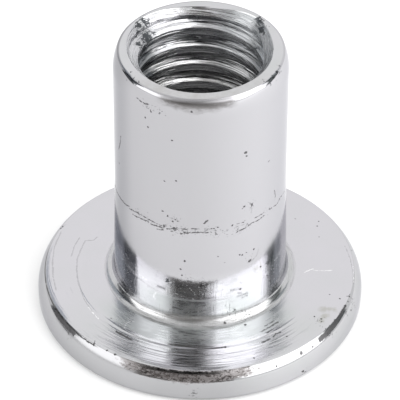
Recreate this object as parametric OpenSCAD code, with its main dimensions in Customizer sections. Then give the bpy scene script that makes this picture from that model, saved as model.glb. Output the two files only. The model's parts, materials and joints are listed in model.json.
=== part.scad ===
// Flanged rivet nut for an M8 screw: one plated steel piece, open right through.
// The flange's outer face lies on the XY plane with its centre at the origin, and the
// barrel rises along +Z. The screw comes in through the flange, passes the plain grip
// zone and bites in the thread of the upper half.

/* [Flange] */
// Largest diameter of the flange
flange_d = 18.85; // [16:0.05:24]
// Thickness of the flange, from its outer face to its seat
flange_t = 2; // [1.8:0.1:2.8]
// How far the bulged edge leans in where it meets the seat
edge_inset = 0.475; // [0.2:0.025:0.8]
// Height at which the bulged edge is widest
edge_widest_z = 0.85; // [0.5:0.05:1]
// Rounding between the bulged edge and the outer face
edge_round_r = 0.45; // [0.1:0.05:0.5]

/* [Barrel] */
// Overall length, from the flange's outer face to the rim
length = 17.6; // [16:0.1:22]
// Diameter of the threaded upper half
barrel_d = 9.7; // [9.6:0.05:10.4]
// How much wider the grip zone is than the threaded half
grip_extra_d = 0.08; // [0.02:0.01:0.2]
// Height at which the grip zone ends
grip_top_z = 8.65; // [7.5:0.05:9.5]
// Fillet between the seat and the barrel
foot_r = 0.6; // [0.2:0.05:1]
// How far the barrel draws in at its rim
rim_inset = 0.25; // [0.2:0.05:0.4]
// Length over which the barrel draws in
rim_rise = 1.2; // [0.6:0.1:1.3]

/* [Bore] */
// Minor diameter of the M8 thread, the wall that its crests leave
thread_minor_d = 6.9; // [6.65:0.01:6.95]
// Diameter of the lead-in at the rim
rim_lead_d = 7.9; // [7.2:0.05:8]
// Diameter of the plain hole that the screw passes
screw_hole_d = 8.3; // [8.1:0.05:8.6]
// Chamfer at the mouth of the screw hole
mouth_chamfer = 0.4; // [0.1:0.05:0.8]

/* [Hidden] */

ROUND = 180;    // segments of a full circle
OVER = 0.1;     // how far a cut runs past the surface that it opens

flange_r = flange_d / 2;
barrel_r = barrel_d / 2;
grip_r = barrel_r + grip_extra_d / 2;
thread_r = thread_minor_d / 2;
screw_r = screw_hole_d / 2;
rim_lead_r = rim_lead_d / 2;

// Both inner cones stand at 45 degrees, so each is as high as its change of radius.
rim_lead_h = rim_lead_r - thread_r;
screw_lead_h = screw_r - thread_r;

// Radius of the arc that is upright at its foot, climbs by rise and leans in by inset
function lean_arc_r(inset, rise) = (inset * inset + rise * rise) / (2 * inset);

// The sections below are right halves: X is the radius and Y the height.

// A disc or barrel section whose side is upright at first and then leans in along an arc
module leaning_section(r, h, inset, rise) {
    arc_r = lean_arc_r(inset, rise);
    intersection() {
        square([r, h]);
        union() {
            square([r, h - rise]);
            square([r - arc_r, h]);
            translate([r - arc_r, h - rise]) circle(arc_r, $fn = ROUND);
        }
    }
}

// What a rounding takes off the lower right corner of a section, which is at the origin
module lower_corner_waste(r) {
    difference() {
        translate([-r, -OVER]) square(r + OVER);
        translate([-r, r]) circle(r, $fn = ROUND);
    }
}

module flange_section() {
    difference() {
        leaning_section(flange_r, flange_t, edge_inset, flange_t - edge_widest_z);
        translate([flange_r, 0]) lower_corner_waste(edge_round_r);
    }
}

// Hollow fillet that leads from the seat into the grip zone
module foot_section() {
    translate([grip_r, flange_t]) difference() {
        translate([-OVER, -OVER]) square(foot_r + OVER);
        translate([foot_r, foot_r]) circle(foot_r, $fn = ROUND);
    }
}

module barrel_section() {
    square([grip_r, grip_top_z]);
    leaning_section(barrel_r, length, rim_inset, rim_rise);
}

// The hole from the screw's side up: mouth, plain hole, cone, thread and lead-in
module bore_section() {
    polygon([
        [0, -OVER],
        [screw_r + mouth_chamfer + OVER, -OVER],
        [screw_r, mouth_chamfer],
        [screw_r, grip_top_z],
        [thread_r, grip_top_z + screw_lead_h],
        [thread_r, length - rim_lead_h],
        [rim_lead_r + OVER, length + OVER],
        [0, length + OVER]
    ]);
}

module nut_body() {
    color([0.78, 0.79, 0.81])
        rotate_extrude($fn = ROUND)
            difference() {
                union() {
                    flange_section();
                    foot_section();
                    barrel_section();
                }
                bore_section();
            }
}

nut_body();
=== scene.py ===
"""Looks of a flanged rivet nut: bright zinc-plated steel with the M8 thread cut into it.

Lengths are in millimetres until a mesh, a lamp or the camera is made; MM turns them into
metres. Azimuth 0 looks from the nut towards the camera (-Y) and grows towards +X. Pixels
are those of the reference photograph, 400 x 400, seen through this scene's camera.
"""

import json
import math

import bmesh
import bpy
from mathutils import Matrix, Vector, noise
from mathutils.bvhtree import BVHTree


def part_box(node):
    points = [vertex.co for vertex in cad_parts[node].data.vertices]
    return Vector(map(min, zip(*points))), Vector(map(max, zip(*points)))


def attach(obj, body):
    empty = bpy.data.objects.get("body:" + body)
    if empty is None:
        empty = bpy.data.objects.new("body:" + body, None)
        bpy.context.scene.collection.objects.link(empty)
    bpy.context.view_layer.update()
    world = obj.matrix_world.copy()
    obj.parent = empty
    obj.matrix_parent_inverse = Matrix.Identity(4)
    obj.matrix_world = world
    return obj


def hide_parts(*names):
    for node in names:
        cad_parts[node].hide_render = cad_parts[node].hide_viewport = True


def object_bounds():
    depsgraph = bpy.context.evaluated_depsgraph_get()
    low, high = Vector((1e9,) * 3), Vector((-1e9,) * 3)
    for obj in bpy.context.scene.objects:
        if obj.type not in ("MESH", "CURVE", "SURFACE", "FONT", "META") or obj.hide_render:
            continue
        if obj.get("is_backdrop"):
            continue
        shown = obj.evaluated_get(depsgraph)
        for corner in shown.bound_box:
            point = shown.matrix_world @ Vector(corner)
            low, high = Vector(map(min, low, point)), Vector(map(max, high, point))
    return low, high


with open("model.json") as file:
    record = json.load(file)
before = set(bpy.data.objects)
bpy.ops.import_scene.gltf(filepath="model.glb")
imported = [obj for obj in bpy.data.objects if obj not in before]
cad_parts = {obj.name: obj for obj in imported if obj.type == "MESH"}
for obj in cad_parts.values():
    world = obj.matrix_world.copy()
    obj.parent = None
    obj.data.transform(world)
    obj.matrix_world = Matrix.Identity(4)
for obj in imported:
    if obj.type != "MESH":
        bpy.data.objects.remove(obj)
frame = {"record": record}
cad_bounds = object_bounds()

MM = 0.001
TAU = 2 * math.pi

# ---------------------------------------------------------------- sizes from the frame
MOUNTS = {mount["name"]: mount for mount in frame["record"]["mounts"]}


def mount_radius(name):
    return MOUNTS[name]["dims"]["r_mm"]


low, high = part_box("nut_body")
LENGTH = round(high.z / MM, 3)
FLANGE_R = round(high.x / MM, 3)
SEAT_Z = MOUNTS["seat"]["pos_m"][2] / MM
GRIP_R = mount_radius("barrel")
SCREW_R = mount_radius("screw_hole")
MINOR_R = mount_radius("thread")

# Sizes that the frame doesn't state, as the CAD part has them
OUTER_EDGE_R = 0.45
EDGE_WIDEST_Z = 0.85
EDGE_INSET = 0.475
FOOT_R = 0.6
GRIP_TOP_Z = 8.65
GRIP_STEP = 0.04
RIM_RISE = 1.2
RIM_INSET = 0.25
RIM_LEAD_R = 3.95
MOUTH_CHAMFER = 0.4
BARREL_R = GRIP_R - GRIP_STEP
SEAT_EDGE_R = FLANGE_R - EDGE_INSET
RIM_R = BARREL_R - RIM_INSET

# Small things that only the looks have
RIM_ROUND = 0.12
WORN_RIM_ROUND = 0.42
WORN_RIM_SPAN = (math.radians(42), math.radians(82))
SEAT_EDGE_ROUND = 0.07
STEP_TAPER_Z = 7.6
SWELL_FOOT_Z = 3.6
SWELL = 0.07
SEAT_SAG_R = 8.5
SEAT_SAG = 0.048
SEAT_EDGE_Z = SEAT_Z - SEAT_SAG
RING_R = 7.15
# Ridges and grooves that the lathe left on the seat: height, radius and width
SEAT_RIDGES = (
    (0.011, RING_R - 0.1, 0.07),
    (-0.008, RING_R + 0.07, 0.06),
    (0.006, 7.66, 0.05),
    (0.005, 8.52, 0.05),
)
# Where the lead-in is deburred wider: its middle and its spread in degrees, and by how much
DEBURRED = ((140, 37, 0.42), (44, 26, 0.34))

# M8 x 1.25 thread, right-hand
PITCH = 1.25
MAJOR_R = 4.0
CREST_FLAT = 0.46
CREST_ROUND = 0.07
ROOT_FLAT = 0.156
CREST_Z_AT_BACK = 16.356

# Mesh fineness
COLUMNS = 240
SHARP_ANGLE = math.radians(32)


# ---------------------------------------------------------------- the nut's mesh
def arc(centre, radius, start, end, steps):
    """Points on an arc in the (radius, height) plane, both ends included, angles in degrees."""
    points = []
    for i in range(steps + 1):
        angle = math.radians(start + (end - start) * i / steps)
        points.append((centre[0] + radius * math.cos(angle), centre[1] + radius * math.sin(angle)))
    return points


def line(start, end, steps):
    """Points on a straight stretch, without its first point."""
    return [
        (
            start[0] + (end[0] - start[0]) * i / steps,
            start[1] + (end[1] - start[1]) * i / steps,
        )
        for i in range(1, steps + 1)
    ]


def rounded_top(radius, foot_z, inset, rise, round_r, steps):
    """An arc that is upright at its foot, climbs by rise and leans in by inset, with its sharp top
    corner rounded off onto the flat above it."""
    arc_r = (inset**2 + rise**2) / (2 * inset)
    centre = Vector((radius - arc_r, foot_z))
    top_z = foot_z + rise
    reach = arc_r - round_r
    round_z = top_z - round_r
    round_x = centre.x + math.sqrt(reach**2 - (round_z - foot_z) ** 2)
    lean = math.degrees(math.asin((round_z - foot_z) / reach))
    return arc(centre, arc_r, 0, lean, steps) + arc((round_x, round_z), round_r, lean, 90, 8)[1:]


def bump_at(radius, centre, width):
    return math.exp(-(((radius - centre) / width) ** 2))


def smooth_step(value, start, end):
    part = min(1.0, max(0.0, (value - start) / (end - start)))
    return part * part * (3 - 2 * part)


def seat_sag(radius):
    """How far the seat has drooped where it nears its outer edge."""
    reach = max(0.0, (radius - SEAT_SAG_R) / (SEAT_EDGE_R - SEAT_SAG_R))
    return SEAT_SAG * reach**2


def grip_swell(height):
    """The grip zone grows a little stouter towards its foot."""
    return SWELL * (1 - smooth_step(height, SWELL_FOOT_Z, STEP_TAPER_Z))


def ring_height(radius):
    """Height of the turning rings on the seat. A low ridge parts a smooth ring from a rough one."""
    outside = min(1.0, max(0.0, (radius - RING_R) / 0.15))
    coarse = noise.noise(Vector((radius * 2.6, 3.7, 0.0)))
    fine = noise.noise(Vector((radius * 5.5, 0.0, 8.1)))
    ridges = sum(height * bump_at(radius, middle, width) for height, middle, width in SEAT_RIDGES)
    return (0.004 + 0.006 * outside) * coarse + (0.001 + 0.003 * outside) * fine + ridges


def outer_rows(rim_round):
    """The turned outline from the screw's side of the flange to the rim's inner edge."""
    edge_foot = FLANGE_R - OUTER_EDGE_R
    seat_steps = 110
    rows = [(SCREW_R + MOUTH_CHAMFER, 0.0)]
    rows += line(rows[-1], (edge_foot, 0.0), 12)
    rows += arc((edge_foot, OUTER_EDGE_R), OUTER_EDGE_R, -90, 0, 8)[1:]
    edge_rise = SEAT_EDGE_Z - EDGE_WIDEST_Z
    rows += rounded_top(FLANGE_R, EDGE_WIDEST_Z, EDGE_INSET, edge_rise, SEAT_EDGE_ROUND, 14)
    foot_start = (GRIP_R + FOOT_R, SEAT_Z)
    seat = line(rows[-1], foot_start, seat_steps)
    for radius, _ in seat[:-1]:
        fade = min(1.0, (radius - foot_start[0]) / 0.2, (seat[0][0] - radius) / 0.2)
        rows.append((radius, SEAT_Z - seat_sag(radius) + fade * ring_height(radius)))
    foot = arc(foot_start[:1] + (SEAT_Z + FOOT_R,), FOOT_R, 270, 180, 14)
    grip = foot + line(foot[-1], (GRIP_R, STEP_TAPER_Z), 16)
    rows += [(radius + grip_swell(height), height) for radius, height in grip]
    rows += line(rows[-1], (BARREL_R, GRIP_TOP_Z), 2)
    rows += line(rows[-1], (BARREL_R, LENGTH - RIM_RISE), 12)
    rows += rounded_top(BARREL_R, LENGTH - RIM_RISE, RIM_INSET, RIM_RISE, rim_round, 12)[1:]
    return rows


def rim_wear(angle):
    """How far the rim's edge is worn round, from 0 at the back to 1 at the front."""
    from_front = abs((angle + TAU / 4 + math.pi) % TAU - math.pi)
    dents = noise.noise(Vector((3.4 * math.cos(angle), 3.4 * math.sin(angle), 5.3)))
    return (1 - smooth_step(from_front, *WORN_RIM_SPAN)) * (0.88 + 0.3 * dents)


def inner_rows():
    """The plain screw hole, from the foot of its inner cone to the mouth."""
    return line((SCREW_R, GRIP_TOP_Z), (SCREW_R, MOUTH_CHAMFER), 10)


def thread_phases():
    """Heights within one pitch at which the thread gets a row, measured from a crest's middle."""
    half_crest = CREST_FLAT / 2
    half_root = ROOT_FLAT / 2
    middle = PITCH / 2
    corner = [half_crest + CREST_ROUND * f for f in (-0.55, -0.2, 0.1, 0.45)]
    flank_start = corner[-1]
    flank = [flank_start + (middle - half_root - flank_start) * f for f in (0.35, 0.7, 1)]
    rising = corner + flank
    falling = [PITCH - h for h in reversed(rising)]
    return [0.0] + rising + [middle] + falling


def groove_radius(offset):
    """Radius of the threaded wall at a height offset from a crest's middle."""
    offset = abs((offset + PITCH / 2) % PITCH - PITCH / 2)
    run = PITCH / 2 - ROOT_FLAT / 2 - CREST_FLAT / 2
    slope = (MAJOR_R - MINOR_R) / run
    past_corner = offset - CREST_FLAT / 2
    blend = CREST_ROUND * 0.5
    if abs(past_corner) < blend:
        return MINOR_R + slope * (past_corner + blend) ** 2 / (4 * blend)
    return MINOR_R + min(MAJOR_R - MINOR_R, slope * max(0.0, past_corner))


def lead_radius(angle):
    """Radius of the lead-in at the rim, which is deburred wider at the back left and the back right."""
    radius = RIM_LEAD_R
    for middle, spread, extra in DEBURRED:
        radius += extra * bump_at(angle, math.radians(middle), math.radians(spread))
    return radius


def bore_radius(angle, height):
    """The threaded bore with its two 45 degree cones."""
    crest_z = CREST_Z_AT_BACK + PITCH * (angle - TAU / 4) / TAU
    screw_cone = SCREW_R - (height - GRIP_TOP_Z)
    rim_cone = lead_radius(angle) - (LENGTH - height)
    return max(groove_radius(height - crest_z), screw_cone, rim_cone)


def thread_grid(add_vertex):
    """Rows of the threaded bore from the rim down. They climb with the thread, and what would
    run past an end shares that end's one vertex per column."""
    phases = thread_phases()
    row_zs = []
    turn_count = int((LENGTH - GRIP_TOP_Z) / PITCH) + 3
    for turn in range(turn_count):
        for phase in reversed(phases):
            row_zs.append(CREST_Z_AT_BACK + (2 - turn) * PITCH + phase)
    rows = [[None] * COLUMNS for _ in row_zs]
    for column in range(COLUMNS):
        angle = TAU * column / COLUMNS
        ends = {}
        for row, base_z in enumerate(row_zs):
            height = base_z + PITCH * (angle - TAU / 4) / TAU
            end = LENGTH if height >= LENGTH else GRIP_TOP_Z if height <= GRIP_TOP_Z else None
            if end is None:
                rows[row][column] = add_vertex(bore_radius(angle, height), angle, height)
                continue
            if end not in ends:
                ends[end] = add_vertex(bore_radius(angle, end), angle, end)
            rows[row][column] = ends[end]
    return rows, len(phases)


def new_mesh_object(name, points, faces):
    mesh = bpy.data.meshes.new(name)
    mesh.from_pydata(points, [], faces)
    thing = bpy.data.objects.new(name, mesh)
    bpy.context.scene.collection.objects.link(thing)
    return thing


def build_nut():
    """The whole nut as one mesh: the turned outside, the screw hole and the helical thread. Returns
    its object and its search tree."""
    vertices = []
    faces = []

    def add_vertex(radius, angle, height):
        vertices.append((radius * math.cos(angle) * MM, radius * math.sin(angle) * MM, height * MM))
        return len(vertices) - 1

    def ring(radius, height):
        return [add_vertex(radius, TAU * c / COLUMNS, height) for c in range(COLUMNS)]

    def worn_ring(crisp, worn):
        """A ring that lies between the outline with a crisp rim and the one with a worn rim."""
        ring = []
        for angle in (TAU * c / COLUMNS for c in range(COLUMNS)):
            radius, height = Vector(crisp).lerp(Vector(worn), rim_wear(angle))
            ring.append(add_vertex(radius, angle, height))
        return ring

    def add_face(*corners):
        kept = [v for i, v in enumerate(corners) if v != corners[i - 1]]
        if len(set(kept)) >= 3:
            faces.append(kept)

    def bridge(first, second, first_far, second_far):
        """Quads between two rows. The far vertices are where each row carries on past the seam."""
        first = first + [first_far]
        second = second + [second_far]
        for c in range(COLUMNS):
            add_face(first[c], first[c + 1], second[c + 1], second[c])

    outer = [worn_ring(*rows) for rows in zip(outer_rows(RIM_ROUND), outer_rows(WORN_RIM_ROUND))]
    inner = [ring(*row) for row in inner_rows()]
    helix, per_turn = thread_grid(add_vertex)
    joins = [(outer[-1], helix[0]), (helix[-1], inner[0]), (inner[-1], outer[0])]
    for first, second in list(zip(outer, outer[1:])) + list(zip(inner, inner[1:])) + joins:
        bridge(first, second, first[0], second[0])
    # past the last column a helical row carries on as the one a turn above it
    for row in range(len(helix) - 1):
        first_far = helix[max(row - per_turn, 0)][0]
        second_far = helix[max(row + 1 - per_turn, 0)][0]
        bridge(helix[row], helix[row + 1], first_far, second_far)

    nut = new_mesh_object("nut_surface", vertices, faces)
    return nut, clean_mesh(nut.data)


def clean_mesh(mesh):
    """Faces look outwards, and edges are sharp only where the outline turns. Returns the
    mesh's search tree, in metres."""
    work = bmesh.new()
    work.from_mesh(mesh)
    bmesh.ops.delete(work, geom=[v for v in work.verts if not v.link_faces], context="VERTS")
    bmesh.ops.recalc_face_normals(work, faces=work.faces)
    for face in work.faces:
        face.smooth = True
    open_edges = [e for e in work.edges if not e.is_manifold]
    triangles = sum(len(face.verts) - 2 for face in work.faces)
    print("nut_surface:", triangles, "triangles,", len(open_edges), "open edges")
    tree = BVHTree.FromBMesh(work)
    work.to_mesh(mesh)
    work.free()
    mesh.set_sharp_from_angle(angle=SHARP_ANGLE)
    return tree


# ---------------------------------------------------------------- camera
CAMERA_ELEVATION = 39.138
CAMERA_DISTANCE = 162.21
CAMERA_ROLL = 0.263
CAMERA_TARGET = Vector((-0.019, 0, 6.962))
FRAME_PX = 400.0
FOCAL_PX = 2845.0
SENSOR_MM = 36.0


def direction(azimuth, elevation):
    a, e = math.radians(azimuth), math.radians(elevation)
    return Vector((math.sin(a) * math.cos(e), -math.cos(a) * math.cos(e), math.sin(e)))


def camera_axes():
    """The camera's right, up and backward directions. It looks down from the front, slightly rolled."""
    out = direction(0, CAMERA_ELEVATION)
    right = Vector((1, 0, 0))
    up = out.cross(right)
    turn = math.radians(CAMERA_ROLL)
    rolled_right = math.cos(turn) * right + math.sin(turn) * up
    rolled_up = math.cos(turn) * up - math.sin(turn) * right
    return rolled_right, rolled_up, out


def camera_place():
    return CAMERA_TARGET + direction(0, CAMERA_ELEVATION) * CAMERA_DISTANCE


def make_camera():
    data = bpy.data.cameras.new("camera")
    data.sensor_fit = "HORIZONTAL"
    data.sensor_width = SENSOR_MM
    data.lens = FOCAL_PX / FRAME_PX * SENSOR_MM
    data.clip_start = 0.01
    data.clip_end = 20
    camera = bpy.data.objects.new("camera", data)
    bpy.context.scene.collection.objects.link(camera)
    axes = Matrix(camera_axes()).transposed()
    camera.matrix_world = Matrix.Translation(camera_place() * MM) @ axes.to_4x4()
    bpy.context.scene.camera = camera


def seen_at(tree, x, y):
    """The point of the nut, in millimetres, that shows at a pixel of the photograph."""
    right, up, out = camera_axes()
    middle = FRAME_PX / 2
    toward = right * ((x - middle) / FOCAL_PX) + up * ((middle - y) / FOCAL_PX) - out
    hit = tree.ray_cast(camera_place() * MM, toward.normalized())[0]
    return hit and hit / MM


# ---------------------------------------------------------------- node helpers
class Bench:
    """Adds nodes to a material and hands back their outputs."""

    def __init__(self, material):
        self.nodes = material.node_tree.nodes
        self.links = material.node_tree.links

    def feed(self, socket, value):
        if isinstance(value, bpy.types.NodeSocket):
            self.links.new(value, socket)
        else:
            socket.default_value = value

    def math(self, operation, *values):
        node = self.nodes.new("ShaderNodeMath")
        node.operation = operation
        for socket, value in zip(node.inputs, values):
            self.feed(socket, value)
        return node.outputs[0]

    def clamped(self, value):
        """The value held between 0 and 1."""
        node = self.nodes.new("ShaderNodeClamp")
        self.feed(node.inputs["Value"], value)
        return node.outputs[0]

    def unsigned(self, value):
        return self.math("ABSOLUTE", value)

    def lacking(self, value):
        """What the value lacks to 1."""
        return self.math("SUBTRACT", 1.0, value)

    def total(self, *values):
        result = values[0]
        for value in values[1:]:
            result = self.math("ADD", result, value)
        return result

    def product(self, *values):
        result = values[0]
        for value in values[1:]:
            result = self.math("MULTIPLY", result, value)
        return result

    def vector(self, operation, *values):
        node = self.nodes.new("ShaderNodeVectorMath")
        node.operation = operation
        for socket, value in zip(node.inputs, values):
            self.feed(socket, value)
        gives_number = operation in ("LENGTH", "DISTANCE", "DOT_PRODUCT")
        return node.outputs["Value" if gives_number else "Vector"]

    def scaled(self, vector, factor):
        node = self.nodes.new("ShaderNodeVectorMath")
        node.operation = "SCALE"
        self.feed(node.inputs["Vector"], vector)
        self.feed(node.inputs["Scale"], factor)
        return node.outputs["Vector"]

    def split(self, vector):
        node = self.nodes.new("ShaderNodeSeparateXYZ")
        self.links.new(vector, node.inputs[0])
        return node.outputs

    def combine(self, x, y, z):
        node = self.nodes.new("ShaderNodeCombineXYZ")
        for socket, value in zip(node.inputs, (x, y, z)):
            self.feed(socket, value)
        return node.outputs[0]

    def noise(self, vector, scale, detail=0.0, roughness=0.5, fourth=None):
        """Smooth noise about zero, mostly between -0.25 and 0.25."""
        node = self.nodes.new("ShaderNodeTexNoise")
        node.noise_dimensions = "3D" if fourth is None else "4D"
        self.feed(node.inputs["Vector"], vector)
        if fourth is not None:
            self.feed(node.inputs["W"], fourth)
        node.inputs["Scale"].default_value = scale
        node.inputs["Detail"].default_value = detail
        node.inputs["Roughness"].default_value = roughness
        return self.math("SUBTRACT", node.outputs[0], 0.5)

    def stretched_noise(self, vector, scales, detail, roughness=0.5):
        """Noise that has a scale of its own along each axis."""
        return self.noise(self.vector("MULTIPLY", vector, scales), 1.0, detail, roughness)

    def ramp(self, value, low, high, to_low=0.0, to_high=1.0):
        """A smooth step from to_low at low to to_high at high, and level beyond them."""
        node = self.nodes.new("ShaderNodeMapRange")
        node.interpolation_type = "SMOOTHSTEP"
        node.clamp = False
        limits = {"From Min": low, "From Max": high, "To Min": to_low, "To Max": to_high}
        for name, number in limits.items():
            self.feed(node.inputs[name], number)
        self.feed(node.inputs["Value"], value)
        return node.outputs["Result"]

    def falling(self, value, low, high):
        """A smooth step from 1 at low down to 0 at high."""
        return self.ramp(value, low, high, 1.0, 0.0)

    def band(self, value, low, high, soft):
        """1 between low and high, with soft edges outside them."""
        return self.product(self.ramp(value, low - soft, low), self.falling(value, high, high + soft))

    def mix(self, factor, first, second):
        """Blend of two colours. A mix node names its colour sockets A and B, and so do its others,
        so they are found by number."""
        node = self.nodes.new("ShaderNodeMix")
        node.data_type = "RGBA"
        self.feed(node.inputs[0], factor)
        self.feed(node.inputs[6], first)
        self.feed(node.inputs[7], second)
        return node.outputs[2]


class Places:
    """Where a shaded point is on the nut, and how far it belongs to each zone. across and along are
    the parts of its outward direction towards +X and +Y."""

    def __init__(self, bench):
        source = bench.nodes.new("ShaderNodeTexCoord")
        self.point = bench.scaled(source.outputs["Object"], 1 / MM)
        x, self.y, self.z = bench.split(self.point)
        flat = bench.vector("MULTIPLY", self.point, (1, 1, 0))
        self.radius = bench.vector("LENGTH", flat)
        self.across, self.along, _ = bench.split(bench.vector("NORMALIZE", flat))
        self.angle = bench.math("ARCTAN2", self.y, x)
        radius, z = self.radius, self.z

        hole_top = bench.falling(z, GRIP_TOP_Z + 0.05, GRIP_TOP_Z + 0.35)
        self.hole = bench.product(bench.falling(radius, SCREW_R + 0.05, SCREW_R + 0.2), hole_top)
        self.bore = bench.product(
            bench.falling(radius, BORE_ZONE_R - 0.02, BORE_ZONE_R + 0.02),
            bench.band(z, GRIP_TOP_Z + 0.05, LENGTH - 0.06, 0.05),
        )
        self.bore_side = bench.ramp(bench.unsigned(bench.total(self.across, 0.02)), 0.1, 0.5)
        self.seat = bench.product(
            bench.band(radius, GRIP_R + FOOT_R - 0.05, SEAT_EDGE_R - 0.05, 0.08),
            bench.ramp(z, SEAT_Z - 0.15, SEAT_Z - 0.05),
        )
        self.rough_seat = bench.product(self.seat, bench.ramp(radius, RING_R - 0.1, RING_R + 0.25))
        mouth_r = SCREW_R + MOUTH_CHAMFER
        self.underside = bench.product(
            bench.band(z, -0.1, 0.03, 0.02), bench.ramp(radius, mouth_r - 0.05, mouth_r + 0.15)
        )
        self.barrel = bench.product(
            bench.band(radius, RIM_R - 0.05, GRIP_R + 0.21, 0.1), bench.ramp(z, SEAT_Z + 0.3, SEAT_Z + 0.9)
        )
        self.foot = bench.product(
            bench.band(radius, GRIP_R - 0.09, GRIP_R + FOOT_R + 0.01, 0.1),
            bench.band(z, SEAT_Z, SEAT_Z + 0.5, 0.15),
        )
        self.foot_band = bench.product(self.barrel, bench.falling(z, *FOOT_BAND_TOP))


# ---------------------------------------------------------------- surface
# Zones that no size of the nut gives, in millimetres. A pair holds the two ends of a soft edge or of
# a band.
BORE_ZONE_R = 4.4
FOOT_BAND_TOP = (4.6, 5.6)
SHAFT_FOOT = (4.3, 5.8)
BORE_BROWN_TOP = (13.2, 16.0)
DEEP_TOP = (11.0, 12.6)
FOOT_LINE = (3.62, 3.7)
INNER_RING = (6.5, 7.05)

# Strength of each noise in the fine relief, in millimetres
WAVE = 0.010
GRAIN = 0.0006
ROUGH_RING = 0.010
SEAT_RING = 0.003
UNDERSIDE_RING = 0.006
FOOT_STREAK = 0.006
TOOL_MARK = (0.045, 0.12)

# Plating, and the painted shade and painted light of some zones
ZINC = (0.63, 0.64, 0.645)
ZINC_CLOUD = (0.665, 0.66, 0.685)
METAL_TINT = (0.82, 0.82, 0.84)
SHAFT = (0.56, 0.556, 0.58)
SHAFT_LEFT_SHADE = (0.466, 0.462, 0.48)
SHAFT_FAR_LEFT_SHADE = (0.35, 0.35, 0.365)
FOOT_HOLLOW_SHADE = (0.38, 0.385, 0.38)
SEAT_GREEN = (0.56, 0.62, 0.59)
SEAT_SIDE_LIGHT = (0.69, 0.675, 0.715)
EDGE_WALL_SHADE = (0.4, 0.4, 0.41)
BORE_RIGHT_SHADE = (0.36, 0.375, 0.385)
BORE_LEFT_SHADE = (0.13, 0.145, 0.16)
BORE_DEPTH_SHADE = (0.12, 0.115, 0.11)

# Lines, dirt and wear, with painted shade, painted reflections and a painted highlight among them
TOOL_LINE = (0.07, 0.07, 0.072)
RING_LINE_AND_DARK_REFLECTION = (0.17, 0.18, 0.19)
COMB_LINE = (0.12, 0.12, 0.125)
FOOT_SHADE = (0.15, 0.15, 0.155)
FOOT_LINES = (0.15, 0.145, 0.14)
BORE_BROWN_BELOW = (0.36, 0.33, 0.29)
EDGE_DIRT_AND_REFLECTION = (0.43, 0.4, 0.402)
WING_DIRT_AND_REFLECTION = (0.06, 0.055, 0.052)
GRIME_BLOT = (0.05, 0.045, 0.042)
CORNER_LEFT = (0.06, 0.06, 0.06)
CORNER_FRONT = (0.05, 0.048, 0.046)
RIM_DARK_REFLECTION = (0.15, 0.143, 0.14)
RIM_FRONT_SHADE = (0.5, 0.49, 0.48)
DARK_MARK_AND_REFLECTION = (0.07, 0.068, 0.07)
LIGHT_MARK_AND_HIGHLIGHT = (0.92, 0.92, 0.93)
FAINT_MARK = (0.2, 0.2, 0.21)
BLOT = (0.05, 0.056, 0.062)
OLIVE = (0.42, 0.415, 0.35)
SPECK = (0.08, 0.08, 0.082)


class Finish:
    """Colour and roughness that each layer changes in turn."""

    def __init__(self, bench, tone, roughness):
        self.bench = bench
        self.tone = tone
        self.roughness = roughness

    def paint(self, mask, colour):
        self.tone = self.bench.mix(mask, self.tone, (*colour, 1))

    def dull(self, mask, amount):
        self.roughness = self.bench.total(self.roughness, self.bench.product(mask, amount))


def helical_noise(bench, places, cells, turns, detail):
    """Noise drawn out along the thread: cells across one pitch, turns cells round the nut. The
    mapping closes on itself after one turn."""
    climb = bench.math("SUBTRACT", places.z, bench.product(places.angle, PITCH / TAU))
    phase = bench.product(climb, TAU / PITCH)
    across_groove = bench.product(bench.math("COSINE", phase), cells / TAU)
    up_groove = bench.product(bench.math("SINE", phase), cells / TAU)
    slow_x = bench.total(bench.product(places.across, turns / TAU), bench.product(places.z, 0.8))
    slow_y = bench.product(places.along, turns / TAU)
    return bench.noise(bench.combine(across_groove, up_groove, slow_x), 1.0, detail, 0.62, fourth=slow_y)


def spun_noise(bench, places, outward, arcs, roughness=0.6):
    """Noise drawn out round the axis, with arcs cells to a radian. It changes along the value outward."""
    spin = bench.combine(outward, bench.product(places.across, arcs), bench.product(places.along, arcs))
    return bench.noise(spin, 1.0, 2.0, roughness)


def upright_noise(bench, places, per_mm, along):
    """Noise drawn out along the axis, with per_mm cells across it and along cells up it."""
    return bench.stretched_noise(places.point, (per_mm, per_mm, along), 2.0, 0.6)


def relief_height(bench, places):
    """Heights of the fine forms in millimetres: waves, grain, turned rings and tool marks."""
    height = bench.product(bench.noise(places.point, 0.45, 1.0), WAVE)
    height = bench.total(height, bench.product(bench.noise(places.point, 9.0, 2.0, 0.6), GRAIN))
    rings = spun_noise(bench, places, bench.product(places.radius, 9.0), 2.6)
    strength = bench.total(
        bench.product(places.rough_seat, ROUGH_RING),
        bench.product(places.seat, SEAT_RING),
        bench.product(places.underside, UNDERSIDE_RING),
    )
    height = bench.total(height, bench.product(rings, strength))
    streaks = upright_noise(bench, places, 8.0, 0.6)
    height = bench.total(height, bench.product(streaks, places.foot_band, FOOT_STREAK))
    threads = helical_noise(bench, places, 11.0, 5.0, 3.0)
    strength = bench.ramp(places.bore_side, 0.0, 1.0, *TOOL_MARK)
    return bench.total(height, bench.product(threads, places.bore, strength))


def finish_shaft(bench, places, finish):
    """The barrel above its foot is duller in colour than the flange. Painted shade darkens its left side,
    most of all its far left.
    """
    shaft = bench.product(places.barrel, bench.ramp(places.z, *SHAFT_FOOT))
    finish.paint(shaft, SHAFT)
    above_grip = bench.ramp(places.z, GRIP_TOP_Z - 0.25, GRIP_TOP_Z + 0.15, 0.75, 1.0)
    # painted shade: the left of the barrel darker, the far left most
    finish.paint(bench.product(shaft, bench.ramp(places.across, 0.8, -0.15), above_grip), SHAFT_LEFT_SHADE)
    finish.paint(bench.product(shaft, bench.ramp(places.across, -0.75, -0.95)), SHAFT_FAR_LEFT_SHADE)


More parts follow.
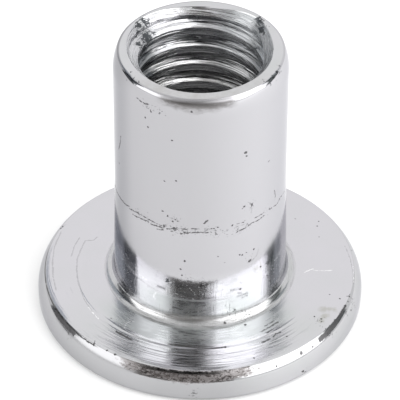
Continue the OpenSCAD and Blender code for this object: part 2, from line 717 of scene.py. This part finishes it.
def finish_bore(bench, places, finish):
    """Tool marks in the thread: dark lines and bright dashes. Painted shade darkens the bore's right side, a
    band on its left and its depth, and a brown darkening grows downwards.
    """
    bore = places.bore
    lines = helical_noise(bench, places, 20.0, 9.0, 1.0)
    finish.paint(bench.product(bore, bench.ramp(lines, 0.07, 0.17), 0.32), TOOL_LINE)
    # painted shade on the bore's right side
    finish.paint(bench.product(bore, bench.ramp(places.across, 0.05, 0.4), 0.7), BORE_RIGHT_SHADE)
    # brown darkening that grows towards the bottom of the bore
    finish.paint(bench.product(bore, bench.falling(places.z, *BORE_BROWN_TOP), 0.22), BORE_BROWN_BELOW)
    left = bench.product(bench.band(places.across, -0.97, -0.8, 0.08), bench.falling(places.z, 16.5, 16.8))
    # painted shade in a band on the bore's left
    finish.paint(bench.product(bore, left, bench.ramp(lines, -0.2, 0.1, 0.25, 0.8)), BORE_LEFT_SHADE)
    # painted shade deep in the bore
    finish.paint(bench.product(bore, bench.falling(places.z, *DEEP_TOP), 0.42), BORE_DEPTH_SHADE)
    finish.dull(bench.product(bore, bench.falling(lines, -0.15, 0.0)), 0.22)
    finish.dull(bench.product(bore, places.bore_side), 0.14)
    dashes = helical_noise(bench, places, 26.0, 40.0, 1.0)
    finish.dull(bench.product(bore, bench.ramp(dashes, 0.15, 0.2)), 0.55)
    finish.dull(places.hole, 0.15)


def finish_seat(bench, places, finish):
    """Turned rings on the front of the seat, greener inside the low ridge, and a painted dark reflection in
    a band across its middle front.
    The sides and the back are paler with painted light."""
    rings = spun_noise(bench, places, bench.product(places.radius, 10.0), 5.0)
    front = bench.product(bench.falling(places.along, -0.85, -0.55), places.seat)
    dark_rings = bench.ramp(rings, 0.06, 0.14)
    finish.paint(bench.product(front, places.rough_seat, dark_rings, 0.22), RING_LINE_AND_DARK_REFLECTION)
    finish.dull(bench.product(front, bench.ramp(rings, -0.1, 0.1)), 0.14)
    wings = bench.product(front, bench.band(bench.unsigned(places.across), 0.42, 0.68, 0.08))
    finish.dull(wings, 0.09)
    inner = bench.product(places.seat, bench.falling(places.radius, RING_R - 0.5, RING_R - 0.1))
    finish.dull(inner, 0.11)
    ahead = bench.falling(places.along, -0.75, -0.35)
    finish.paint(bench.product(inner, ahead, 0.3), SEAT_GREEN)
    middle = bench.product(front, bench.band(places.across, -0.22, 0.08, 0.06))
    # painted dark reflection: a darker band across the middle front of the seat
    finish.paint(bench.product(middle, bench.band(places.radius, *INNER_RING, 0.08), 0.3), RING_LINE_AND_DARK_REFLECTION)
    finish.dull(bench.product(middle, bench.falling(places.radius, 6.3, 6.5)), 0.05)
    # painted light: the sides and the back of the seat paler
    finish.paint(bench.product(places.seat, bench.lacking(ahead), 0.6), SEAT_SIDE_LIGHT)


def finish_foot(bench, places, finish):
    """Upright forming streaks and specks on the foot of the barrel, and a duller hollow below. Painted shade
    darkens the middle of the low band and the hollow, most at the front. Two stretches, left and right of
    the middle, stay calm."""
    calm = bench.band(bench.unsigned(places.across), 0.4, 0.76, 0.05)
    rough = bench.lacking(bench.product(calm, 0.95))
    combs = upright_noise(bench, places, 13.0, 0.9)
    low = bench.falling(bench.total(places.z, bench.product(calm, 0.9)), 3.0, 4.2)
    low = bench.product(places.foot_band, low)
    finish.dull(bench.product(low, bench.ramp(combs, 0.03, 0.14)), 0.11)
    finish.paint(bench.product(low, bench.falling(combs, -0.2, -0.1), 0.6), COMB_LINE)
    middle = bench.product(low, bench.band(places.across, -0.3, 0.16, 0.06))
    finish.paint(bench.product(middle, 0.3), FOOT_SHADE)
    specks = bench.stretched_noise(places.point, (7.0, 7.0, 13.0), 1.0)
    finish.dull(bench.product(places.foot_band, rough, bench.ramp(specks, 0.17, 0.21)), 0.35)
    front = bench.falling(places.along, -0.96, -0.9)
    line = bench.product(bench.band(places.z, *FOOT_LINE, 0.08), places.foot_band, front)
    finish.dull(line, 0.2)
    finish.dull(places.foot, bench.ramp(places.along, -0.98, -0.8, 0.22, 0.08))

    ahead = bench.ramp(places.along, -0.8, -0.3, 1.0, 0.4)
    # painted shade in the hollow at the barrel's foot, strongest at the front
    finish.paint(bench.product(places.foot, ahead, bench.ramp(combs, -0.2, 0.2, 0.75, 0.45)), FOOT_HOLLOW_SHADE)
    inward = bench.product(bench.math("SUBTRACT", places.radius, places.z), 11.0)
    turned = spun_noise(bench, places, inward, 5.0, 0.7)
    finish.paint(bench.product(places.foot, ahead, bench.ramp(turned, 0.04, 0.1), 0.5), FOOT_LINES)
    upper = bench.product(places.barrel, bench.band(places.z, 4.6, 6.6, 0.8))
    finish.dull(bench.product(upper, bench.ramp(bench.unsigned(places.across), 0.7, 0.8)), 0.06)


def edge_wall(bench, places, finish):
    """Painted shade on the flange's bulged wall, darker towards the left. Returns the wall's mask."""
    wall = bench.ramp(places.radius, SEAT_EDGE_R - 0.03, SEAT_EDGE_R + 0.01)
    shade = bench.total(
        bench.ramp(places.across, 0.05, 0.55, 0.82, 0.34),
        bench.product(bench.band(places.across, -0.15, 0.1, 0.3), 0.12),
        bench.ramp(places.across, 0.65, 0.9, 0.0, 0.16),
    )
    # painted shade on the flange's wall, darker towards the left
    finish.paint(bench.product(wall, shade), EDGE_WALL_SHADE)
    above_widest = bench.ramp(places.z, EDGE_WIDEST_Z + 0.05, EDGE_WIDEST_Z + 0.45)
    finish.dull(bench.product(wall, bench.band(places.across, -0.85, -0.45, 0.1), above_widest), 0.12)
    return wall


def finish_edge(bench, places, finish):
    """Painted shade on the flange's wall, brown dirt and a painted dark reflection below the seat's edge at
    the front, and a dark line along the edge.
    """
    wall = edge_wall(bench, places, finish)
    ahead = bench.falling(places.along, -0.7, -0.6)
    mottle = bench.stretched_noise(places.point, (3.2, 3.2, 8.0), 4.0, 0.75)
    reach = bench.unsigned(bench.total(places.across, 0.07, bench.product(mottle, 0.3)))
    front = bench.product(bench.falling(reach, 0.36, 0.44), ahead)
    depth = bench.total(places.z, bench.product(mottle, 0.7), bench.product(reach, -0.55))
    dirt_and_reflection = bench.product(wall, front, bench.ramp(depth, 1.3, 1.42))
    # brown dirt and a painted dark reflection below the seat's edge at the front
    finish.paint(bench.product(dirt_and_reflection, bench.ramp(mottle, -0.2, 0.15, 0.9, 0.6)), EDGE_DIRT_AND_REFLECTION)
    off_middle = bench.ramp(bench.unsigned(bench.total(places.across, 0.06)), 0.12, 0.3)
    wings = bench.product(dirt_and_reflection, off_middle)
    # darker wings: dirt and painted dark reflection
    finish.paint(bench.product(wings, bench.ramp(mottle, -0.1, 0.1, 0.8, 0.3)), WING_DIRT_AND_REFLECTION)
    finish.dull(bench.product(dirt_and_reflection, bench.ramp(mottle, -0.15, 0.1)), 0.25)
    blots = bench.stretched_noise(places.point, (5.0, 5.0, 11.0), 2.0, 0.7)
    finish.paint(bench.product(dirt_and_reflection, bench.ramp(blots, 0.05, 0.12), 0.8), GRIME_BLOT)

    patchy = bench.ramp(bench.noise(places.point, 1.6, 1.0), -0.22, -0.06)
    left = bench.product(bench.falling(places.across, -0.68, -0.62), bench.falling(places.along, 0.1, 0.25))
    corner = bench.band(places.z, SEAT_EDGE_Z - 0.078, SEAT_EDGE_Z - 0.035, 0.015)
    finish.paint(bench.product(wall, corner, left, patchy, 0.85), CORNER_LEFT)
    middle = bench.product(bench.band(places.across, -0.32, 0.1, 0.1), ahead)
    ragged_z = bench.total(places.z, bench.product(mottle, 0.25))
    corner = bench.band(ragged_z, SEAT_EDGE_Z - 0.13, SEAT_EDGE_Z - 0.03, 0.03)
    finish.paint(bench.product(wall, corner, middle, 0.9), CORNER_FRONT)


def finish_rim(bench, places, finish):
    """A painted dark reflection, smeared grey, on the front of the barrel just below the worn part of the
    rim, and painted brownish shade on the front of the rim's flat."""
    wisps = bench.stretched_noise(places.point, (1.6, 1.6, 4.0), 3.0, 0.65)
    reach = bench.total(places.z, bench.product(wisps, 0.8), bench.product(places.along, -1.6))
    # painted dark reflection below the worn part of the rim, smeared grey
    dark_reflection = bench.product(bench.ramp(reach, 18.35, 18.95), bench.band(places.across, -0.42, 0.33, 0.12))
    dark_reflection = bench.product(dark_reflection, bench.falling(places.along, -0.6, -0.5))
    dark_reflection = bench.product(dark_reflection, bench.ramp(places.radius, 4.5, 4.56))
    below_rim = bench.ramp(places.z, LENGTH - 0.24, LENGTH - 0.14, 0.85, 0.3)
    finish.paint(bench.product(dark_reflection, below_rim), RIM_DARK_REFLECTION)
    finish.dull(dark_reflection, bench.ramp(places.z, LENGTH - 0.4, LENGTH - 0.2, 0.12, 0.3))
    top = bench.product(
        bench.band(places.radius, 3.9, 4.5, 0.02), bench.ramp(places.z, LENGTH - 0.1, LENGTH - 0.03)
    )
    front = bench.falling(places.along, -0.9, -0.4)
    # painted shade, brownish, on the front of the rim's flat
    finish.paint(bench.product(top, front, bench.ramp(wisps, -0.2, 0.2, 0.2, 0.7)), RIM_FRONT_SHADE)


def zinc_material(tree):
    """Bright zinc plating. The tree tells where the marks of the photograph fall on the nut."""
    material = bpy.data.materials.new("bright_zinc")
    material.use_nodes = True
    bench = Bench(material)
    places = Places(bench)
    shader = bench.nodes["Principled BSDF"]
    shader.inputs["Metallic"].default_value = 1.0
    shader.inputs["Specular Tint"].default_value = (*METAL_TINT, 1)

    relief = bench.nodes.new("ShaderNodeBump")
    relief.inputs["Distance"].default_value = MM
    bench.links.new(relief_height(bench, places), relief.inputs["Height"])
    bench.links.new(relief.outputs["Normal"], shader.inputs["Normal"])

    clouds = bench.noise(places.point, 0.5, 3.0)
    tone = bench.mix(bench.ramp(clouds, -0.25, 0.25), (*ZINC, 1), (*ZINC_CLOUD, 1))
    finish = Finish(bench, tone, bench.total(0.085, bench.product(clouds, 0.04)))
    for finish_zone in (finish_shaft, finish_bore, finish_seat, finish_foot, finish_edge, finish_rim):
        finish_zone(bench, places, finish)
    finish_wear(bench, places, finish, tree)
    bench.links.new(finish.tone, shader.inputs["Base Color"])
    bench.links.new(bench.clamped(finish.roughness), shader.inputs["Roughness"])
    return material


# ---------------------------------------------------------------- marks seen in the photograph
# Pits: x, y and radius in pixels
PITS = (
    (245.6, 152.5, 1.5), (246.5, 156.0, 1.0), (172.0, 140.5, 1.0), (148.0, 127.3, 0.9), (145.3, 117.7, 0.8),
    (151.3, 112.0, 1.0), (268.9, 161.0, 0.8), (191.5, 112.0, 1.0), (164.5, 181.0, 0.8), (176.3, 181.0, 0.9),
    (119.2, 163.0, 0.9), (162.7, 211.0, 0.8), (167.5, 215.8, 0.9), (175.5, 219.6, 1.2), (172.8, 221.5, 0.8),
    (244.6, 206.3, 1.1), (251.8, 204.8, 1.4), (218.0, 227.3, 0.8), (232.5, 225.5, 0.9), (184.5, 261.0, 1.1),
    (180.6, 269.3, 0.9), (182.0, 275.0, 1.3), (218.0, 256.5, 0.7), (224.7, 262.6, 0.7), (239.5, 255.0, 0.8),
    (242.3, 255.0, 0.7), (246.5, 252.5, 0.8), (250.0, 260.5, 1.5), (254.0, 249.0, 1.0), (260.5, 266.8, 0.9),
    (240.5, 289.0, 1.1), (173.5, 228.2, 1.7), (184.5, 232.6, 1.2), (187.3, 232.8, 1.1),
    (295.0, 218.8, 0.8), (318.5, 221.3, 0.6), (317.3, 225.9, 0.5), (319.1, 236.8, 0.5), (339.7, 298.9, 1.0),
    (349.4, 296.3, 0.9), (329.6, 294.4, 0.8), (347.8, 301.4, 0.8), (352.6, 304.2, 0.7), (351.0, 310.4, 0.9),
    (314.2, 316.4, 0.9), (320.4, 325.8, 0.9), (321.3, 319.0, 0.8), (286.7, 336.6, 0.9), (352.0, 250.6, 1.0),
    (301.4, 353.0, 1.7), (276.3, 366.1, 1.1), (303.4, 370.9, 1.2), (312.7, 346.5, 0.9), (107.0, 350.2, 0.9),
    (115.2, 354.3, 1.0), (62.4, 226.8, 1.1), (60.8, 228.6, 0.9), (94.0, 344.0, 1.0), (254.0, 358.0, 1.0),
    (225.4, 347.0, 1.3), (245.2, 325.0, 1.2), (224.6, 323.0, 1.3), (111.0, 318.0, 0.8),
)  # fmt: skip

# Dark scratches, and painted dark reflections on the flange's edge: half width in pixels, then the pixels
# that they run through
DARK_SCRATCHES_AND_REFLECTIONS = (
    (0.75, ((115.3, 185.0), (116.2, 189.5), (121.0, 199.0), (125.8, 204.6), (129.0, 206.3))),
    (0.55, ((129.5, 208.5), (138.0, 213.0), (145.0, 217.0), (152.0, 221.2), (157.5, 223.8), (164.0, 226.5))),
    (0.5, ((133.0, 214.6), (143.0, 219.5), (148.5, 221.8))),
    (0.6, ((151.0, 223.9), (155.5, 225.6), (163.0, 228.0), (164.2, 225.0))),
    (0.5, ((157.5, 229.3), (163.0, 229.8))),
    (0.5, ((167.0, 228.5), (181.0, 228.7), (187.0, 229.3))),
    (0.65, ((181.0, 233.6), (189.0, 232.7), (200.0, 232.6), (207.5, 232.8))),
    (0.45, ((191.0, 228.7), (199.0, 228.7))),
    (0.5, ((205.0, 229.2), (214.0, 228.6))),
    (0.55, ((238.0, 231.4), (245.5, 227.8), (252.0, 222.8), (258.0, 220.3), (264.0, 215.6))),
    (0.4, ((237.0, 224.0), (244.0, 222.0), (245.0, 220.4))),
    (0.4, ((255.0, 218.0), (264.0, 212.5))),
    (0.45, ((269.0, 209.5), (277.0, 204.0), (280.5, 197.0), (284.6, 190.8))),
    (0.45, ((274.3, 190.0), (275.4, 195.0), (274.7, 199.5))),
    (0.5, ((242.2, 208.8), (244.6, 206.2))),
    (0.8, ((204.2, 223.2), (207.5, 220.6))),
    (0.55, ((137.0, 98.0), (141.0, 101.5), (146.0, 104.3), (149.0, 104.8))),
    (0.5, ((150.2, 109.5), (151.6, 112.5))),
    (0.65, ((120.9, 136.5), (120.2, 143.0), (118.8, 149.0))),
    (0.8, ((94.7, 341.5), (93.4, 345.3))),
    (0.45, ((74.5, 332.0), (84.0, 339.0), (93.0, 345.0))),
    # painted dark reflection on the flange's edge at the left front
    (2.4, ((56.0, 312.0), (62.0, 320.5), (68.0, 327.5), (74.0, 333.5))),
    # painted dark reflection on the flange's edge at the right front
    (1.2, ((345.5, 305.5), (341.0, 313.5), (336.0, 321.5))),
    (2.4, ((336.0, 321.5), (330.0, 329.5), (320.0, 339.5))),
    (1.2, ((116.5, 331.5), (123.0, 335.3), (131.0, 339.5))),
    (0.6, ((261.0, 331.5), (270.0, 327.0), (278.0, 321.8))),
    (0.6, ((265.0, 326.0), (269.5, 323.5), (274.0, 321.0))),
    (0.9, ((262.5, 342.3), (266.0, 340.8), (270.0, 339.0))),
    (0.6, ((266.5, 333.0), (272.0, 329.7))),
    (0.6, ((273.0, 337.0), (276.0, 333.5), (280.0, 332.7))),
)
LIGHT_SCRATCHES_AND_HIGHLIGHT = (
    (0.6, ((304.4, 272.6), (308.5, 270.4), (313.0, 269.0))),
    (0.5, ((314.0, 270.2), (324.0, 270.9), (332.5, 270.4))),
    (0.45, ((88.5, 307.0), (93.0, 313.0), (98.5, 319.0))),
    (0.55, ((124.4, 328.0), (126.0, 323.6), (130.0, 321.4), (134.0, 321.5))),
    # painted highlight along the flange's edge at the right
    (0.3, ((353.0, 266.0), (353.6, 282.0))),
    (0.45, ((122.0, 259.0), (127.0, 265.0), (135.0, 272.0))),
    (0.4, ((272.0, 290.0), (276.0, 283.0))),
)
FAINT_SCRATCHES = (
    (0.45, ((249.8, 203.0), (251.8, 207.0), (251.2, 213.0))),
    (0.45, ((258.6, 248.0), (257.0, 255.0), (251.5, 261.5))),
    (0.6, ((97.0, 237.2), (93.5, 240.2), (85.0, 240.8), (81.0, 249.5))),
    (0.6, ((81.0, 249.5), (77.3, 258.5), (76.6, 270.0), (78.4, 283.0))),
    (0.5, ((79.5, 237.5), (74.0, 247.0), (71.5, 256.0))),
    (0.5, ((78.4, 283.0), (84.0, 299.0), (92.0, 311.5))),
    (0.35, ((345.0, 246.0), (350.0, 258.0), (352.5, 270.0), (353.0, 284.0))),
    (0.6, ((61.0, 232.0), (54.5, 247.0), (52.5, 262.0), (53.0, 277.0), (56.0, 290.0))),
)
# Ragged blots at the rim, in the bore and on the foot: x, y and radius in pixels
BLOTS = (
    (145, 21, 5.5), (141, 28, 5.0), (137, 36, 4.5), (146, 38, 7.5), (152, 32, 4.0), (144, 51, 6.5),
    (139, 44, 4.0),
    (258, 22, 4.5), (262, 30, 4.5), (258, 48, 3.0), (128, 74, 1.6), (132, 79, 2.0), (135.5, 83, 1.8),
    (268, 82, 2.2), (273, 77.5, 2.2), (277, 72.5, 2.2), (280, 67, 1.8), (168, 282, 2.0), (127, 250, 2.5),
)  # fmt: skip
# Clusters of fine specks: x, y and radius in pixels
SPECK_CLUSTERS = (
    (167, 225, 3), (176, 230, 5), (186, 232, 5), (196, 231, 3), (206, 231, 4), (216, 232, 4), (227, 232, 4),
    (237, 230, 4), (246, 226, 3), (251, 205, 3), (268, 209, 3), (175, 219, 3), (150, 220, 3), (139, 213, 3),
    (250, 261, 3), (190, 281, 5), (178, 286, 4), (203, 285, 5), (232, 313, 4), (246, 314, 4),
    (125, 262, 6), (125, 292, 6), (132, 284, 4), (268, 262, 5), (267, 276, 5), (194, 394, 5), (304, 372, 3),
    (319, 320, 4), (128, 345, 3), (352, 300, 4), (346, 312, 4), (70, 332, 5), (158, 112, 4), (146, 104, 3),
    (62, 227, 1), (330, 332, 5),
)  # fmt: skip
# A pale olive stain on the seat: x, y and radius in pixels
STAIN = ((323.5, 309.5, 2.6), (329, 309.3, 1.5), (334, 310, 1.2), (325, 316, 2.5), (321, 321, 1.5))
# Size of a pixel on the nut
PX_MM = 1 / 17.4
# The marks come again on the back between these radii
COPIED_R = (4.6, 5.7)
# How strongly noise shakes the marks' outlines, in millimetres
SHAKE = 0.12


def nearness(bench, point, tree, pits, scratches):
    """How close a point is to the nearest mark, as distance less the mark's half width, in mm.
    Each mark is folded in at once, because Cycles holds only so many values side by side."""
    nearest = 1.0
    for x, y, radius in pits:
        spot = seen_at(tree, x, y)
        if spot is None:
            continue
        away = bench.vector("DISTANCE", point, spot)
        nearest = bench.math("MINIMUM", bench.math("SUBTRACT", away, radius * PX_MM), nearest)
    for half_width, pixels in scratches:
        spots = [seen_at(tree, x, y) for x, y in pixels]
        for start, end in zip(spots, spots[1:]):
            if start is None or end is None:
                continue
            run = end - start
            from_start = bench.vector("SUBTRACT", point, start)
            part = bench.vector("DOT_PRODUCT", from_start, run / run.length_squared)
            away = bench.vector("DISTANCE", from_start, bench.scaled(run, bench.clamped(part)))
            nearest = bench.math("MINIMUM", bench.math("SUBTRACT", away, half_width * PX_MM), nearest)
    return nearest


def finish_wear(bench, places, finish, tree):
    """Pits, scratches, blots and specks with ragged edges, and a few painted dark reflections and a painted
    highlight on the flange's edge. The marks on the front of the barrel come again on its back, turned round
    by half a turn."""
    back = bench.math("GREATER_THAN", places.y, 0.0)
    on_barrel = bench.product(
        bench.math("GREATER_THAN", places.radius, COPIED_R[0]),
        bench.math("LESS_THAN", places.radius, COPIED_R[1]),
    )
    hidden = bench.product(back, on_barrel)
    side = bench.lacking(bench.product(hidden, 2.0))
    point = bench.vector("MULTIPLY", places.point, bench.combine(side, side, 1.0))
    wobble = bench.nodes.new("ShaderNodeTexNoise")
    bench.links.new(point, wobble.inputs["Vector"])
    wobble.inputs["Scale"].default_value = 9.0
    wobble.inputs["Detail"].default_value = 1.0
    shift = bench.scaled(bench.vector("SUBTRACT", wobble.outputs["Color"], (0.5, 0.5, 0.5)), SHAKE)
    shaken = bench.vector("ADD", point, shift)
    breaks = bench.noise(point, 5.0, 2.0, 0.7)

    marks = nearness(bench, shaken, tree, PITS, DARK_SCRATCHES_AND_REFLECTIONS)
    dark = bench.ramp(bench.total(marks, bench.product(breaks, 0.16)), -0.015, 0.02, 0.85, 0.0)
    # dark marks, partly painted dark reflections on the flange's edge
    finish.paint(dark, DARK_MARK_AND_REFLECTION)
    finish.dull(dark, 0.3)
    marks = nearness(bench, shaken, tree, (), LIGHT_SCRATCHES_AND_HIGHLIGHT)
    light = bench.ramp(bench.total(marks, bench.product(breaks, 0.16)), -0.01, 0.015, 0.9, 0.0)
    # light scratches, and a painted highlight on the flange's edge
    finish.paint(light, LIGHT_MARK_AND_HIGHLIGHT)
    marks = nearness(bench, shaken, tree, (), FAINT_SCRATCHES)
    faint = bench.ramp(bench.total(marks, bench.product(breaks, 0.1)), -0.01, 0.02, 0.3, 0.0)
    finish.paint(faint, FAINT_MARK)

    smudges = bench.stretched_noise(point, (3.5, 3.5, 5.0), 3.0, 0.75)
    edge = bench.total(nearness(bench, point, tree, BLOTS, ()), bench.product(smudges, 1.9), 0.06)
    blots = bench.ramp(edge, -0.08, 0.04, 0.9, 0.0)
    finish.paint(blots, BLOT)
    finish.dull(blots, 0.15)
    edge = bench.total(nearness(bench, point, tree, STAIN, ()), bench.product(smudges, 0.5))
    finish.paint(bench.ramp(edge, -0.08, 0.22, 0.5, 0.0), OLIVE)
    dust = bench.stretched_noise(point, (6.0, 6.0, 13.0), 2.0, 0.7)
    edge = bench.total(nearness(bench, point, tree, SPECK_CLUSTERS, ()), bench.product(dust, -3.0), 0.35)
    specks = bench.ramp(edge, -0.04, 0.04, 0.8, 0.0)
    finish.paint(specks, SPECK)


# ---------------------------------------------------------------- studio
STUDIO_RADIUS = 500.0
AIM = Vector((0, 0, 7.0))
CARD_STEPS = 8
# The floor's half width and where its lift grows, in metres
FLOOR_HALF = 3.0
LIFT_GROWS = (0.05, 0.15)
# How far the floor lies below the nut, in millimetres
FLOOR_GAP = 0.02
WHITE = (1, 1, 1, 1)


def place_facing(thing, azimuth, elevation, radius):
    """Puts a flat thing on a sphere about the nut, facing it."""
    out = direction(azimuth, elevation)
    thing.location = (AIM + out * radius) * MM
    thing.rotation_mode = "QUATERNION"
    thing.rotation_quaternion = out.to_track_quat("Z", "Y")


def span(degrees, radius):
    """Length of a flat thing that spans an angle at a distance."""
    return 2 * radius * math.tan(math.radians(degrees) / 2) * MM


def softbox(name, azimuths, elevations, radiance, radius=STUDIO_RADIUS):
    """An area lamp that fills a window of the sky, given by its sides and its foot and top."""
    lamp = bpy.data.lights.new(name, "AREA")
    lamp.shape = "RECTANGLE"
    lamp.size = span(azimuths[1] - azimuths[0], radius)
    lamp.size_y = span(elevations[1] - elevations[0], radius)
    lamp.energy = radiance * math.pi * lamp.size * lamp.size_y
    box = bpy.data.objects.new(name, lamp)
    bpy.context.scene.collection.objects.link(box)
    place_facing(box, sum(azimuths) / 2, sum(elevations) / 2, radius)
    box.visible_camera = False


def matt_material(name, colour):
    material = bpy.data.materials.new(name)
    material.use_nodes = True
    shader = material.node_tree.nodes["Principled BSDF"]
    shader.inputs["Base Color"].default_value = (*colour, 1)
    shader.inputs["Roughness"].default_value = 1.0
    shader.inputs["Specular IOR Level"].default_value = 0.0
    return material


def card(name, azimuths, elevations, colour, radius=STUDIO_RADIUS - 10):
    """A matt sheet that darkens a window of the sky, curved along the studio's wall."""
    steps = CARD_STEPS
    points = []
    for i in range(steps + 1):
        azimuth = azimuths[0] + (azimuths[1] - azimuths[0]) * i / steps
        for j in range(steps + 1):
            elevation = elevations[0] + (elevations[1] - elevations[0]) * j / steps
            points.append((AIM + direction(azimuth, elevation) * radius) * MM)
    faces = []
    for i in range(steps):
        for j in range(steps):
            corner = i * (steps + 1) + j
            faces.append((corner, corner + 1, corner + steps + 2, corner + steps + 1))
    sheet = new_mesh_object(name, points, faces)
    sheet.data.materials.append(matt_material(name, colour))
    # it shows in the metal only, and neither shades nor tints the floor
    sheet.visible_camera = False
    sheet.visible_diffuse = False
    sheet.visible_shadow = False
    sheet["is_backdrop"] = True


def seen_directly(bench):
    """1 for camera, glossy and transmission rays, which show the background as it is."""
    path = bench.nodes.new("ShaderNodeLightPath")
    rays = [path.outputs[name] for name in ("Is Camera Ray", "Is Glossy Ray", "Is Transmission Ray")]
    return bench.math("MAXIMUM", bench.math("MAXIMUM", rays[0], rays[1]), rays[2])


def make_world(light_strength):
    world = bpy.data.worlds.new("studio_world")
    bpy.context.scene.world = world
    world.use_nodes = True
    bench = Bench(world)
    background = bench.nodes["Background"]
    background.inputs["Color"].default_value = WHITE
    direct = seen_directly(bench)
    strength = bench.total(light_strength, bench.product(direct, 1.0 - light_strength))
    bench.links.new(strength, background.inputs["Strength"])


def make_floor(albedo, lift, far_lift):
    """A pale table top. lift raises it to white where it is seen, and keeps its shadows. far_lift
    does so where the lamps no longer reach."""
    material = matt_material("pale_floor", (albedo, albedo, albedo))
    bench = Bench(material)
    shader = bench.nodes["Principled BSDF"]
    shader.inputs["Emission Color"].default_value = WHITE
    source = bench.nodes.new("ShaderNodeTexCoord")
    away = bench.vector("LENGTH", source.outputs["Object"])
    glow = bench.product(seen_directly(bench), bench.ramp(away, *LIFT_GROWS, lift, far_lift))
    bench.links.new(glow, shader.inputs["Emission Strength"])
    half = FLOOR_HALF
    below = -FLOOR_GAP * MM
    corners = [(-half, -half, below), (half, -half, below), (half, half, below), (-half, half, below)]
    floor = new_mesh_object("floor", corners, [(0, 1, 2, 3)])
    floor.data.materials.append(material)
    floor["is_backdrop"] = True


def make_studio():
    make_world(1.0)
    make_floor(0.74, 0.2, 0.27)
    softbox("softbox_right", (22, 90), (4, 74), 1.6, radius=220.0)
    softbox("softbox_left", (-92, -42), (8, 50), 1.22)
    card("black_front", (-41, 21), (37, 51), (0.06, 0.06, 0.062))
    card("grey_front", (-15, 47), (51, 66), (0.2, 0.195, 0.19), radius=200.0)
    card("brown_front", (-41, 21), (-6, 37), (0.25, 0.235, 0.225))
    card("dark_left", (-122, -92), (30, 45), (0.05, 0.06, 0.075))
    card("dark_left_low", (-114, -89), (-4, 30), (0.12, 0.125, 0.13))
    card("shade_left", (-140, -122), (30, 47), (0.42, 0.45, 0.49))
    card("grey_left", (-160, -140), (30, 48), (0.5, 0.53, 0.57))
    card("dark_right", (93, 116), (30, 46), (0.1, 0.115, 0.115))
    card("dark_right_low", (87, 112), (5, 30), (0.15, 0.165, 0.165))
    card("shade_right", (116, 135), (30, 48), (0.42, 0.45, 0.47))
    card("dark_overhead", (-60, 40), (76, 88), (0.26, 0.255, 0.25))


make_camera()
nut, nut_tree = build_nut()
nut.data.materials.append(zinc_material(nut_tree))
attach(nut, "root")
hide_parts("nut_body")
make_studio()
bpy.context.scene.view_settings.view_transform = "Standard"

boxes = {"cad": cad_bounds, "visual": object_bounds()}
{name: [list(corner) for corner in box] for name, box in boxes.items()}
